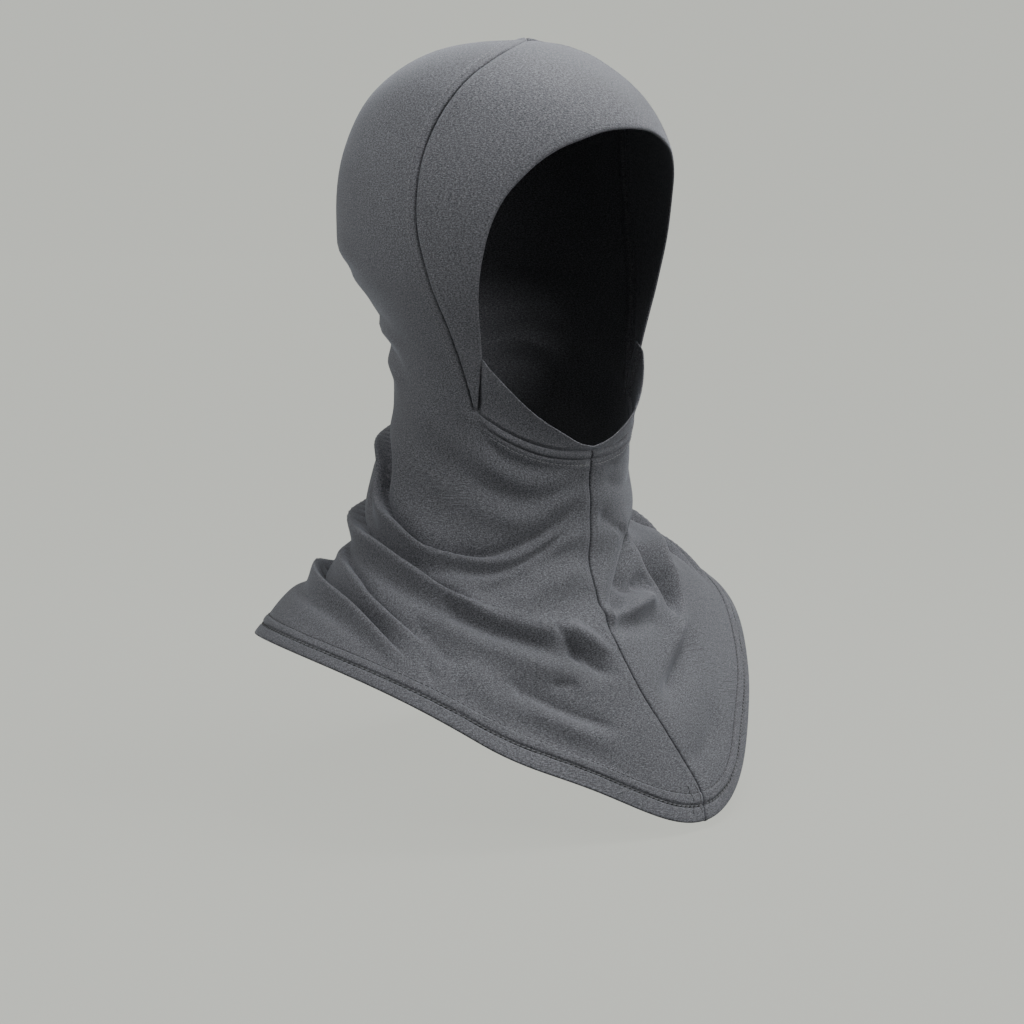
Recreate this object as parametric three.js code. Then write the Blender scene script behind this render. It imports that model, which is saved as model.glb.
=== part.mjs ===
// Hijab underscarf cap: a close hood, neck and bib in heather jersey.
// Millimetres, +Z up, the face looks along -Y, +X is the wearer's left.
// The origin is the inside top of the crown, where the cap sits on the head.
//
// The whole cap is one surface of two coordinates: an angle around the head
// (0 at the face, 180 at the nape, positive to the wearer's left) and a row
// number that runs down from the crown (0) to the hem (12). Each panel is a
// region of that surface, thickened inwards.
import * as THREE from 'three';

// Driving sizes of the hood, measured from the crown's axis
const HOOD_FRONT = 100;
const HOOD_SIDE = 84;
const HOOD_BACK = 110;
const CHIN_DROP = 222;
const SIDE_DROP = 174;
const NAPE_DROP = 170;

// Driving sizes of the neck
const NECK_FRONT = 64;
const NECK_SIDE = 69;
const NECK_BACK = 73;

// Driving sizes of the bib: its reach, and its length below the collar
const BIB_FRONT = 151;
const BIB_SIDE = 160;
const BIB_BACK = 114;
const BIB_FRONT_LENGTH = 191;
const BIB_SIDE_LENGTH = 140;
const BIB_BACK_LENGTH = 206;

// Cloth, seams and edges
const CLOTH = 1.2;
const BAND_CLOTH = 2.0;
const HEM_LAYER = 1.0;
const HEM_WIDTH = 15;
const HEM_LIFT = 8; // rise of the hem on each side of its front point
const HEM_LIFT_SPAN = 50; // degrees from the front point to the end of that rise
const LIP_WIDTH = 7;
const LIP_HEIGHT = 1.5;
const LIP_FADE = 14; // degrees over which the lip dies out towards the band
const SEAM_GAP = 0.3;
const FOLD_DEPTH = 10;
const SEAM_SWAY = 8;
const CHIN_CLEARANCE = 0.5; // degrees between the chin panel's ends and the band
const TIP_STOP = 0.1; // share of the last stretch by which the band stops short

// Mesh fineness
const HOOD_COLUMNS = 18;
const FRONT_COLUMNS = 11;
const BIB_ROWS = 28;
const BAND_COLUMNS = 5;
const CHIN_COLUMNS = 14;
const CHIN_ROWS = 4;
const ROUTE_STEPS = 24;
const PROBE_DEGREES = 1;
const PROBE_ROWS = 0.05;
const SIDE_CROWDING = 1.25; // above 1, columns stand closer at the side than at the nape

const JERSEY = { color: 0x4c5057, roughness: 0.92, metalness: 0 };

const mean = (a, b) => (a + b) / 2;
const radians = THREE.MathUtils.degToRad;
const smooth = (from, to, value) => THREE.MathUtils.smoothstep(value, from, to);

// Five stations around the cap: front, fore (45), side (90), aft (135), back
const stations = (front, side, back) => [front, mean(front, side), side, mean(side, back), back];

const HOOD_REACH = stations(HOOD_FRONT, HOOD_SIDE, HOOD_BACK);
const NECK_REACH = stations(NECK_FRONT, NECK_SIDE, NECK_BACK);
const BIB_REACH = stations(BIB_FRONT, BIB_SIDE, BIB_BACK);
const HOOD_DROP = stations(CHIN_DROP, SIDE_DROP, NAPE_DROP);
const BIB_DROP = stations(BIB_FRONT_LENGTH, BIB_SIDE_LENGTH, BIB_BACK_LENGTH);

// One line for each row of the surface. "axis" is how far the row's centre lies
// behind the crown, as a share of HOOD_FRONT. "drop" is a share of HOOD_DROP down
// to the collar and of BIB_DROP below it, and "reach" is a share of the part that
// the row follows, both at the five stations.
const ROWS = [
  {
    name: 'crown', follows: HOOD_REACH, axis: 0,
    drop: [0, 0, 0, 0, 0],
    reach: [0, 0, 0, 0, 0],
  },
  {
    name: 'dome', follows: HOOD_REACH, axis: 0.01,
    drop: [0.03, 0.03, 0.03, 0.035, 0.04],
    reach: [0.38, 0.41, 0.49, 0.475, 0.435],
  },
  {
    name: 'brow', follows: HOOD_REACH, axis: 0.04,
    drop: [0.13, 0.135, 0.14, 0.155, 0.175],
    reach: [0.76, 0.74, 0.8, 0.795, 0.765],
  },
  {
    name: 'temple', follows: HOOD_REACH, axis: 0.04,
    drop: [0.27, 0.295, 0.33, 0.35, 0.37],
    reach: [0.95, 0.935, 0.94, 0.96, 0.945],
  },
  {
    name: 'ear', follows: HOOD_REACH, axis: 0.04,
    drop: [0.44, 0.485, 0.55, 0.57, 0.59],
    reach: [1, 1, 1, 1, 1],
  },
  {
    name: 'cheek', follows: HOOD_REACH, axis: 0.04,
    drop: [0.64, 0.685, 0.735, 0.735, 0.755],
    reach: [0.97, 0.955, 0.975, 0.94, 0.935],
  },
  {
    name: 'jaw', follows: HOOD_REACH, axis: 0.04,
    drop: [0.84, 0.88, 0.86, 0.835, 0.86],
    reach: [0.86, 0.85, 0.905, 0.825, 0.81],
  },
  {
    name: 'collar', follows: NECK_REACH, axis: 0.04,
    drop: [1, 1.06, 1, 0.975, 1],
    reach: [1, 1.04, 1.015, 1, 1.055],
  },
  {
    name: 'throat', follows: NECK_REACH, axis: 0.06,
    drop: [0.155, 0.185, 0.255, 0.195, 0.155],
    reach: [1, 1.04, 1, 0.93, 0.95],
  },
  {
    name: 'base', follows: NECK_REACH, axis: 0.08,
    drop: [0.33, 0.385, 0.53, 0.405, 0.32],
    reach: [1.095, 1.115, 1.115, 1.07, 1.07],
  },
  {
    name: 'slope', follows: BIB_REACH, axis: 0.1,
    drop: [0.525, 0.585, 0.785, 0.67, 0.555],
    reach: [0.635, 0.605, 0.655, 0.64, 0.755],
  },
  {
    name: 'chest', follows: BIB_REACH, axis: 0.1,
    drop: [0.755, 0.775, 0.92, 0.83, 0.775],
    reach: [0.82, 0.76, 0.855, 0.82, 0.875],
  },
  {
    name: 'hem', follows: BIB_REACH, axis: 0.08,
    drop: [1, 0.955, 1, 0.97, 1],
    reach: [1, 0.905, 1.01, 0.98, 1],
  },
];
const rowNumber = (name) => ROWS.findIndex((row) => row.name === name);
const COLLAR = rowNumber('collar');
const HEM = rowNumber('hem');

// The brow band, from the middle of the forehead to its tip at the jaw. Each line
// pairs a point of the seam behind it with a point of the face edge before it.
const BAND = [
  { seamAngle: 0, seamRow: 0.2, edgeAngle: 0, edgeRow: 2.63 },
  { seamAngle: 30, seamRow: 0.46, edgeAngle: 7, edgeRow: 2.65 },
  { seamAngle: 43, seamRow: 0.78, edgeAngle: 13, edgeRow: 2.7 },
  { seamAngle: 54, seamRow: 1.22, edgeAngle: 20, edgeRow: 2.81 },
  { seamAngle: 64, seamRow: 1.74, edgeAngle: 28, edgeRow: 2.96 },
  { seamAngle: 70, seamRow: 2.15, edgeAngle: 35, edgeRow: 3.16 },
  { seamAngle: 76, seamRow: 2.6, edgeAngle: 41.5, edgeRow: 3.42 },
  { seamAngle: 80, seamRow: 3.05, edgeAngle: 47, edgeRow: 3.69 },
  { seamAngle: 81.5, seamRow: 3.6, edgeAngle: 51, edgeRow: 4 },
  { seamAngle: 81, seamRow: 4.15, edgeAngle: 53.8, edgeRow: 4.36 },
  { seamAngle: 78, seamRow: 4.7, edgeAngle: 56, edgeRow: 4.8 },
  { seamAngle: 74.5, seamRow: 5.25, edgeAngle: 57, edgeRow: 5.3 },
  { seamAngle: 70.5, seamRow: 5.8, edgeAngle: 57, edgeRow: 5.75 },
  { seamAngle: 66, seamRow: 6.35, edgeAngle: 57.5, edgeRow: 6.2 },
  { seamAngle: 61, seamRow: 7, edgeAngle: 60, edgeRow: 7 },
];

const BAND_TIP = BAND[BAND.length - 1];

// The upper edge of the panel under the chin, from the middle to the band
const JAW_EDGE = [
  { angle: 0, row: 6.93 },
  { angle: 10, row: 6.86 },
  { angle: 22, row: 6.7 },
  { angle: 31, row: 6.58 },
  { angle: 40, row: 6.42 },
  { angle: 49, row: 6.22 },
  { angle: 56, row: 6.06 },
];

// The front seam wanders to the wearer's left (+) or right (-), as a share of SEAM_SWAY
const SWAY = [
  { row: 7, share: 0 },
  { row: 8.2, share: 0.15 },
  { row: 9.6, share: -0.9 },
  { row: 10.4, share: -0.8 },
  { row: 11.1, share: 0.1 },
  { row: 11.7, share: 1 },
  { row: 12, share: 0.35 },
];

// The drape folds, as the cloth lies gathered on the neck and shoulders. "route" is
// four points (angle, row) along the crease over a roll of cloth, and "height" and
// "width" are those of the roll below it, as shares of FOLD_DEPTH.
const FOLDS = [
  { name: 'neck_roll', height: 0.8, width: 2.3,
    route: [[-156, 8.3], [-106, 8.95], [-66, 9.35], [-24, 8.85]] },
  { name: 'shoulder_roll', height: 0.85, width: 2.2,
    route: [[-150, 9.2], [-106, 9.55], [-68, 9.8], [-30, 10.1]] },
  { name: 'shoulder_pleat', height: 0.55, width: 1.9,
    route: [[-128, 9.8], [-99, 10], [-79, 10.3], [-58, 10.85]] },
  { name: 'outer_pleat', height: 0.7, width: 2,
    route: [[-138, 10.3], [-104, 10.45], [-82, 10.75], [-62, 11.3]] },
  { name: 'collar_crease', height: 0.25, width: 1.3,
    route: [[-72, 7], [-56, 7.42], [-32, 7.45], [-4, 7.25]] },
  { name: 'throat_crease', height: 0.3, width: 1.5,
    route: [[-66, 8.05], [-48, 8.12], [-26, 7.95], [-3, 7.55]] },
  { name: 'swoop', height: 0.4, width: 1.5,
    route: [[-56, 9.7], [-40, 9.4], [-22, 8.95], [-2, 8.5]] },
  { name: 'chest_swag', height: 0.45, width: 1.9,
    route: [[-84, 9.95], [-60, 10.15], [-40, 10.2], [-18, 10.25]] },
  { name: 'chest_dent', height: 0.35, width: 1.8,
    route: [[-38, 10.85], [-30, 10.93], [-24, 11], [-16, 11.1]] },
  { name: 'shoulder_swag', height: 0.7, width: 2,
    route: [[42, 9], [39, 9.8], [26, 10.4], [2, 10.65]] },
  { name: 'front_pocket', height: 0.6, width: 1.8,
    route: [[-2, 9.7], [10, 9.55], [24, 9.15], [46, 8.7]] },
  { name: 'far_neck_roll', height: 0.8, width: 2.3,
    route: [[154, 8.5], [112, 9.05], [82, 9.3], [48, 9]] },
  { name: 'far_shoulder_roll', height: 0.8, width: 2.2,
    route: [[148, 9.4], [112, 9.7], [84, 10], [56, 10.45]] },
  { name: 'far_outer_pleat', height: 0.65, width: 2,
    route: [[134, 10.35], [106, 10.5], [84, 10.85], [62, 11.3]] },
  { name: 'nape_crease', height: 0.3, width: 1.6,
    route: [[-176, 6], [-152, 6.25], [-134, 6.35], [-112, 6.6]] },
  { name: 'nape_roll', height: 0.35, width: 1.8,
    route: [[-178, 7.15], [-156, 7.25], [-136, 7.3], [-112, 7.5]] },
  { name: 'far_nape_crease', height: 0.3, width: 1.6,
    route: [[174, 6.15], [154, 6.35], [136, 6.4], [114, 6.5]] },
  { name: 'far_nape_roll', height: 0.35, width: 1.8,
    route: [[172, 7.4], [152, 7.35], [134, 7.25], [110, 7.5]] },
];

// Section of a fold across its crease, in fold widths, plus being below the crease
const ROLL = { centre: 0.48, spread: 0.29 };
const DIP = { centre: -0.2, spread: 0.24, depth: 0.3 };
// Share of a crease over which its fold dies out at each end
const FOLD_FADE = 0.3;

// Catmull-Rom blend of four neighbours
function spline(before, from, to, after, t) {
  const slopes = (to - before) * t;
  const bend = (2 * before - 5 * from + 4 * to - after) * t * t;
  const twist = (3 * from - before - 3 * to + after) * t * t * t;
  return (2 * from + slopes + bend + twist) / 2;
}

// Value at a place along a list of numbers, smooth through all of them
function along(values, place) {
  const last = values.length - 1;
  const low = THREE.MathUtils.clamp(Math.floor(place), 0, last - 1);
  const before = low > 0 ? values[low - 1] : 2 * values[0] - values[1];
  const after = low + 2 <= last ? values[low + 2] : 2 * values[last] - values[last - 1];
  return spline(before, values[low], values[low + 1], after, place - low);
}

// Value of one column of a table where another column, which rises, has a value
function lookUp(table, key, column, at) {
  const next = table.findIndex((line) => line[key] > at);
  if (next === 0) return table[0][column];
  if (next < 0) return table[table.length - 1][column];
  const [low, high] = [table[next - 1][key], table[next][key]];
  return along(table.map((line) => line[column]), next - 1 + (at - low) / (high - low));
}

// Five station values as the weights of an even series of cosines
function harmonics(values) {
  return values.map((_, order) => {
    const ends = (values[0] + values[4] * (-1) ** order) / 2;
    const inner = [1, 2, 3].reduce((sum, k) => sum + values[k] * Math.cos((order * k * Math.PI) / 4), 0);
    return (ends + inner) / (order === 0 || order === 4 ? 4 : 2);
  });
}

// The rows' sizes in millimetres, with a mirrored row before the crown so that
// the surface is round there
const dropAt = (row, index, station) =>
  index <= COLLAR
    ? row.drop[station] * HOOD_DROP[station]
    : ROWS[COLLAR].drop[station] * HOOD_DROP[station] + row.drop[station] * BIB_DROP[station];
const reachWeights = ROWS.map((row) => harmonics(row.reach.map((share, k) => share * row.follows[k])));
const dropWeights = ROWS.map((row, index) => harmonics(row.drop.map((_, k) => dropAt(row, index, k))));
const axisPlaces = ROWS.map((row) => row.axis * HOOD_FRONT);
const byOrder = (weights, sign) =>
  weights[0].map((_, order) => [sign * weights[1][order], ...weights.map((line) => line[order])]);
const REACH = byOrder(reachWeights, -1);
const DROP = byOrder(dropWeights, 1);
const AXIS = [axisPlaces[1], ...axisPlaces];

const seriesAt = (orders, row, angle) =>
  orders.reduce((sum, weights, order) => sum + along(weights, row + 1) * Math.cos(order * radians(angle)), 0);

// The plain surface, before its folds
function plainPoint(angle, row) {
  const reach = seriesAt(REACH, row, angle);
  const nearFront = Math.cos(radians(THREE.MathUtils.clamp(angle, -90, 90))) ** 2;
  const sway = row > COLLAR ? lookUp(SWAY, 'row', 'share', row) * SEAM_SWAY * nearFront : 0;
  return new THREE.Vector3(
    reach * Math.sin(radians(angle)) + sway,
    along(AXIS, row + 1) - reach * Math.cos(radians(angle)),
    CLOTH - seriesAt(DROP, row, angle),
  );
}

// Outward normal of the plain surface, from points a little to each side
function normalAt(angle, row) {
  const safeRow = Math.max(row, PROBE_ROWS * 2);
  const across = plainPoint(angle + PROBE_DEGREES, safeRow).sub(plainPoint(angle - PROBE_DEGREES, safeRow));
  const down = plainPoint(angle, safeRow + PROBE_ROWS).sub(plainPoint(angle, safeRow - PROBE_ROWS));
  return down.cross(across).normalize();
}

// A fold's crease as points and the direction down the cloth at each of them
const creases = FOLDS.map((fold) => {
  const angles = fold.route.map((point) => point[0]);
  const rows = fold.route.map((point) => point[1]);
  const steps = Array.from({ length: ROUTE_STEPS + 1 }, (_, k) => {
    const place = (k / ROUTE_STEPS) * (fold.route.length - 1);
    const [angle, row] = [along(angles, place), along(rows, place)];
    return { point: plainPoint(angle, row), normal: normalAt(angle, row) };
  });
  steps.forEach((step, k) => {
    const next = steps[Math.min(k + 1, ROUTE_STEPS)].point;
    const last = steps[Math.max(k - 1, 0)].point;
    step.down = next.clone().sub(last).cross(step.normal).normalize();
    if (step.down.z > 0) step.down.negate();
  });
  return { ...fold, steps };
});

// Rise of the cloth at a distance from the crease: a dip at it, a roll below it
function foldProfile(distance, width) {
  const bump = ({ centre, spread }) => Math.exp(-((distance / width - centre) ** 2) / (2 * spread ** 2));
  return bump(ROLL) - DIP.depth * bump(DIP);
}

// How far all folds lift a point of the plain surface
function foldLift(point) {
  return creases.reduce((sum, fold) => {
    let best = Infinity;
    let nearest = 0;
    fold.steps.forEach((step, k) => {
      const distance = step.point.distanceToSquared(point);
      if (distance < best) {
        best = distance;
        nearest = k;
      }
    });
    const width = fold.width * FOLD_DEPTH;
    const step = fold.steps[nearest];
    const offset = point.clone().sub(step.point).dot(step.down);
    const aside = Math.sqrt(Math.max(0, best - offset ** 2));
    const share = nearest / ROUTE_STEPS;
    const fade = smooth(0, FOLD_FADE, share) * smooth(0, FOLD_FADE, 1 - share);
    const near = 1 - smooth(width, width * 2, aside);
    return sum + fold.height * FOLD_DEPTH * fade * near * foldProfile(offset, width);
  }, 0);
}

// The rolled lip along the collar's front edge
function lipLift(angle, row) {
  const place = (row - COLLAR) / rowsFor(angle, COLLAR, LIP_WIDTH);
  if (place < 0 || place > 1) return 0;
  return LIP_HEIGHT * Math.sin(Math.PI * place) * smooth(0, LIP_FADE, BAND_TIP.seamAngle - angle);
}

// How many rows a length of cloth takes up, just below a row
function rowsFor(angle, row, length) {
  const span = plainPoint(angle, row).distanceTo(plainPoint(angle, row + PROBE_ROWS));
  return (length * PROBE_ROWS) / span;
}

// The hem's row, with its rise beside the front point
function hemRow(angle) {
  const share = Math.min(Math.abs(angle) / HEM_LIFT_SPAN, 1);
  return HEM - rowsFor(angle, HEM - 1, HEM_LIFT * Math.sin(Math.PI * share) ** 2);
}

// Point of the seam or of the face edge at a place along the band
function bandCurve(kind, place) {
  const column = (name) => along(BAND.map((line) => line[kind + name]), place);
  return { angle: column('Angle'), row: column('Row') };
}

// Moves a boundary point along the cloth, away from its neighbour's edge
function retreat(point, towards, distance) {
  const step = towards.clone().sub(point);
  return point.clone().addScaledVector(step.normalize(), distance);
}

// Rows of a panel's bib, from the collar's lip through the drape to the hem
function bibRows(angle) {
  const lip = rowsFor(angle, COLLAR, LIP_WIDTH);
  const hem = hemRow(angle);
  const hemTop = hem - rowsFor(angle, HEM - 1, HEM_WIDTH);
  const fold = rowsFor(angle, HEM - 1, HEM_LAYER / 2);
  const drapeTop = COLLAR + lip;
  const step = (hemTop - drapeTop) / BIB_ROWS;
  const drape = Array.from({ length: BIB_ROWS }, (_, k) => drapeTop + step * (k + 1));
  return [COLLAR, COLLAR + lip / 3, COLLAR + (lip * 2) / 3, drapeTop, ...drape, hemTop + fold, hem];
}

// Closes a grid of cloth points into one solid. A grid cell may be empty, and
// points that coincide become one. Each point has its place on the outside, the
// direction in which its wall goes, and the wall itself.
function thicken(grid) {
  const positions = [];
  const numbers = new Map();
  const number = (point) => {
    const key = point.toArray().map((value) => value.toFixed(3)).join();
    if (!numbers.has(key)) {
      numbers.set(key, numbers.size);
      positions.push(point.x, point.y, point.z);
    }
    return numbers.get(key);
  };
  const inward = (cell) => cell.point.clone().addScaledVector(cell.normal, -cell.wall);
  const outside = grid.map((line) => line.map((cell) => cell && number(cell.point)));
  const inside = grid.map((line) => line.map((cell) => cell && number(inward(cell))));
  const partner = new Map();
  outside.forEach((line, row) => line.forEach((from, column) => partner.set(from, inside[row][column])));
  const corner = (index) => new THREE.Vector3().fromArray(positions, index * 3);
  const triangles = [];
  const add = (...corners) => {
    if (new Set(corners).size === 3) triangles.push(corners);
  };
  const edges = new Map();
  const skin = (a, b, c) => {
    if (new Set([a, b, c]).size < 3) return;
    add(a, b, c);
    add(partner.get(c), partner.get(b), partner.get(a));
    [[a, b], [b, c], [c, a]].forEach(([from, to]) => edges.set(`${from},${to}`, [from, to]));
  };
  for (let row = 0; row + 1 < grid.length; row += 1) {
    for (let column = 0; column + 1 < grid[row].length; column += 1) {
      const [a, b] = [outside[row][column], outside[row][column + 1]];
      const [c, d] = [outside[row + 1][column + 1], outside[row + 1][column]];
      if ([a, b, c, d].includes(null)) continue;
      if (corner(a).distanceTo(corner(c)) < corner(b).distanceTo(corner(d))) {
        skin(a, d, c);
        skin(a, c, b);
      } else {
        skin(a, d, b);
        skin(d, c, b);
      }
    }
  }
  edges.forEach(([from, to]) => {
    if (edges.has(`${to},${from}`)) return;
    add(to, from, partner.get(from));
    add(to, partner.get(from), partner.get(to));
  });
  const volume = triangles.reduce((sum, [a, b, c]) => sum + corner(a).dot(corner(b).cross(corner(c))), 0);
  const facing = volume > 0 ? triangles : triangles.map(([a, b, c]) => [a, c, b]);
  const geometry = new THREE.BufferGeometry();
  geometry.setAttribute('position', new THREE.Float32BufferAttribute(positions, 3));
  geometry.setIndex(facing.flat());
  return geometry;
}

// One point of a panel. On the front and back seams its wall goes straight back,
// and the point keeps half the gap to the other side's panel.
function panelCell(side, angle, row, wall) {
  const point = plainPoint(side * angle, row);
  const normal = normalAt(side * angle, row);
  point.addScaledVector(normal, foldLift(point) + lipLift(angle, row));
  if (angle === 0 || angle === 180) {
    point.x += (side * SEAM_GAP) / 2;
    normal.setX(0).normalize();
  }
  return { point, normal, wall };
}

// A side panel: one half of the hood behind the band, of the neck and of the bib
function sidePanel(side) {
  const spread = (from, count) =>
    Array.from({ length: count + 1 }, (_, k) => from + (180 - from) * (k / count) ** SIDE_CROWDING);
  const empty = Array(FRONT_COLUMNS).fill(null);
  const crown = Array(HOOD_COLUMNS + 1).fill(panelCell(side, 0, 0, CLOTH));
  const hood = BAND.slice(0, -1).map((line) => {
    const across = spread(line.seamAngle, HOOD_COLUMNS);
    const cells = across.map((angle) => panelCell(side, angle, line.seamRow, CLOTH));
    cells[0].point = retreat(cells[0].point, cells[1].point, SEAM_GAP / 2);
    return [...empty, ...cells];
  });
  const front = empty.map((_, k) => (BAND_TIP.seamAngle * k) / FRONT_COLUMNS);
  const angles = [...front, ...spread(BAND_TIP.seamAngle, HOOD_COLUMNS)];
  const wallAt = (k, rows) => (k < rows.length - 2 ? CLOTH : CLOTH + HEM_LAYER);
  const columns = angles.map((angle) =>
    bibRows(angle).map((row, k, rows) => panelCell(side, angle, row, wallAt(k, rows))),
  );
  const bib = columns[0].map((_, row) => columns.map((column) => column[row]));
  return thicken([[...empty, ...crown], ...hood, ...bib]);
}

// The band over the brow and down both cheeks, two layers of jersey
function browBand() {
  const places = [...BAND.keys()].slice(0, -1).concat(BAND.length - 1 - TIP_STOP);
  const right = places.slice(1).reverse().map((place) => [-1, place]);
  const left = places.map((place) => [1, place]);
  return thicken([...right, ...left].map(([side, place]) => {
    const [seam, edge] = [bandCurve('seam', place), bandCurve('edge', place)];
    const cells = Array.from({ length: BAND_COLUMNS + 1 }, (_, k) => {
      const { angle, row } = between(seam, edge, k / BAND_COLUMNS);
      return {
        point: plainPoint(side * angle, row),
        normal: normalAt(side * angle, row),
        wall: BAND_CLOTH,
      };
    });
    cells[0].point = retreat(cells[0].point, cells[1].point, SEAM_GAP / 2);
    return cells;
  }));
}

// The panel under the chin, from the jaw edge down to the collar
function chinPanel() {
  const [high, low] = [JAW_EDGE[JAW_EDGE.length - 1].row, COLLAR];
  return thicken(Array.from({ length: CHIN_ROWS + 1 }, (_, k) => {
    const share = k / CHIN_ROWS;
    const endRow = high + (low - high) * share;
    const endAngle = lookUp(BAND, 'edgeRow', 'edgeAngle', endRow) - CHIN_CLEARANCE;
    return Array.from({ length: CHIN_COLUMNS + 1 }, (__, column) => {
      const angle = endAngle * ((2 * column) / CHIN_COLUMNS - 1);
      const jaw = lookUp(JAW_EDGE, 'angle', 'row', Math.abs(angle));
      const bottom = low - rowsFor(angle, COLLAR, SEAM_GAP);
      const row = jaw + (bottom - jaw) * share;
      return { point: plainPoint(angle, row), normal: normalAt(angle, row), wall: CLOTH };
    });
  }));
}

// Point between two surface points, on a flat map of the crown so that lines
// across the top of the head stay straight
function between(from, to, share) {
  const flat = ({ angle, row }) => [row * Math.sin(radians(angle)), row * Math.cos(radians(angle))];
  const [start, end] = [flat(from), flat(to)];
  const [x, y] = start.map((value, k) => value + (end[k] - value) * share);
  return { angle: THREE.MathUtils.radToDeg(Math.atan2(x, y)), row: Math.hypot(x, y) };
}

const cap = new THREE.Group();
const sew = (name, geometry) => {
  const piece = new THREE.Mesh(geometry, new THREE.MeshStandardMaterial(JERSEY));
  piece.name = name;
  cap.add(piece);
};
sew('brow_band', browBand());
sew('side_panel_left', sidePanel(1));
sew('side_panel_right', sidePanel(-1));
sew('chin_panel', chinPanel());

export default cap;
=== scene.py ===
import math

import bpy
import numpy as np

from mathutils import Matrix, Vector


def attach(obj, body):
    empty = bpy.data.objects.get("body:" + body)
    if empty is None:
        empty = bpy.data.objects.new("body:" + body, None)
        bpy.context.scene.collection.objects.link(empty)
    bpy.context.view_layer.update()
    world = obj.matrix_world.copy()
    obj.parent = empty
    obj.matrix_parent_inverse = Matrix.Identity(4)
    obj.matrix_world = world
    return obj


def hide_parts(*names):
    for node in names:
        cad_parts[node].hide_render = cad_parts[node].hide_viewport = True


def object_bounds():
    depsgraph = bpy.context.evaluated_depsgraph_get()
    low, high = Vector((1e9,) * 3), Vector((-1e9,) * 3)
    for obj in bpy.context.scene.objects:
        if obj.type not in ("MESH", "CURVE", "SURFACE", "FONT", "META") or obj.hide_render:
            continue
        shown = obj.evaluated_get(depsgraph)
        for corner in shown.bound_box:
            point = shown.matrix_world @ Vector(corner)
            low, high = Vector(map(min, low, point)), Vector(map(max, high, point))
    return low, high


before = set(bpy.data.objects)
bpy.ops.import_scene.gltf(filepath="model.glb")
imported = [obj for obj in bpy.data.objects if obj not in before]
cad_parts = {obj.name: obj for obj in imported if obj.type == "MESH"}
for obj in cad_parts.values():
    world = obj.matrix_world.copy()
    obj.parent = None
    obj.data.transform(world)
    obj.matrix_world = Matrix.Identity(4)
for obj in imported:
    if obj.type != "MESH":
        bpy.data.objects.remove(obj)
CAD_BOX = [list(corner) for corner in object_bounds()]

MM = 0.001

# Sizes of the cloth and its seams
CLOTH = 1.2
LAYER = 0.85
BAND_LAYER = 1.5
HEM_LAYER = 1.5
HEM_LIFT = 8
HEM_LIFT_SPAN = 50
SEAM_SWAY = 8
SEAM_HALF_GAP = 0.02
PROBE_DEGREES = 1
PROBE_ROWS = 0.05

# The surface, from the same sizes as the solids


def stations(front, side, back):
    """Sizes at the front, fore, side, aft and back of the cap."""
    return np.array([front, (front + side) / 2, side, (side + back) / 2, back], float)


HOOD = stations(100, 84, 110)
NECK = stations(64, 69, 73)
BIB = stations(151, 160, 114)
HOOD_DROP = stations(222, 174, 170)
BIB_DROP = stations(191, 140, 206)

# One line for each row: what its reach follows, how far its centre lies behind the
# crown (share of the hood's front), its drop and its reach at the five stations.
ROWS = [
    (HOOD, 0, [0, 0, 0, 0, 0], [0, 0, 0, 0, 0]),
    (HOOD, 0.01, [0.03, 0.03, 0.03, 0.035, 0.04], [0.38, 0.41, 0.49, 0.475, 0.435]),
    (HOOD, 0.04, [0.13, 0.135, 0.14, 0.155, 0.175], [0.76, 0.74, 0.8, 0.795, 0.765]),
    (HOOD, 0.04, [0.27, 0.295, 0.33, 0.35, 0.37], [0.95, 0.935, 0.94, 0.96, 0.945]),
    (HOOD, 0.04, [0.44, 0.485, 0.55, 0.57, 0.59], [1, 1, 1, 1, 1]),
    (HOOD, 0.04, [0.64, 0.685, 0.735, 0.735, 0.755], [0.97, 0.955, 0.975, 0.94, 0.935]),
    (HOOD, 0.04, [0.84, 0.88, 0.86, 0.835, 0.86], [0.86, 0.85, 0.905, 0.825, 0.81]),
    (NECK, 0.04, [1, 1.06, 1, 0.975, 1], [1, 1.04, 1.015, 1, 1.055]),
    (NECK, 0.06, [0.155, 0.185, 0.255, 0.195, 0.155], [1, 1.04, 1, 0.93, 0.95]),
    (NECK, 0.08, [0.33, 0.385, 0.53, 0.405, 0.32], [1.095, 1.115, 1.115, 1.07, 1.07]),
    (BIB, 0.1, [0.525, 0.585, 0.785, 0.67, 0.555], [0.635, 0.605, 0.655, 0.64, 0.755]),
    (BIB, 0.1, [0.755, 0.775, 0.92, 0.83, 0.775], [0.82, 0.76, 0.855, 0.82, 0.875]),
    (BIB, 0.08, [1, 0.955, 1.03, 1.01, 1], [1, 0.905, 0.995, 0.95, 1]),
]
COLLAR = 7
HEM = 12

# Pairs of a point on the seam behind the brow band and one on its face edge:
# seam angle, seam row, edge angle, edge row, from the forehead down to the jaw.
BAND = np.array([
    (0, 0.2, 0, 2.63), (30, 0.46, 7, 2.65), (43, 0.78, 13, 2.7), (54, 1.22, 20, 2.81),
    (64, 1.74, 28, 2.96), (70, 2.15, 35, 3.16), (76, 2.6, 41.5, 3.42), (80, 3.05, 47, 3.69),
    (81.5, 3.6, 51, 4), (81, 4.15, 53.8, 4.36), (78, 4.7, 56, 4.8), (74.5, 5.25, 57, 5.3),
    (70.5, 5.8, 57, 5.75), (66, 6.35, 57.5, 6.2), (61, 7, 60, 7),
])
TIP_ANGLE = 61
# The jaw edge of the panel under the chin (angle, row) and the sway of the front seam
JAW = np.array([(0, 6.93), (10, 6.86), (22, 6.7), (31, 6.58), (40, 6.42), (49, 6.22), (56, 6.06)])
SWAY = np.array([
    (7, 0), (8.2, 0.15), (9.6, -0.9), (10.4, -0.8), (11.1, 0.1), (11.7, 1), (12, 0.35),
])


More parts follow.
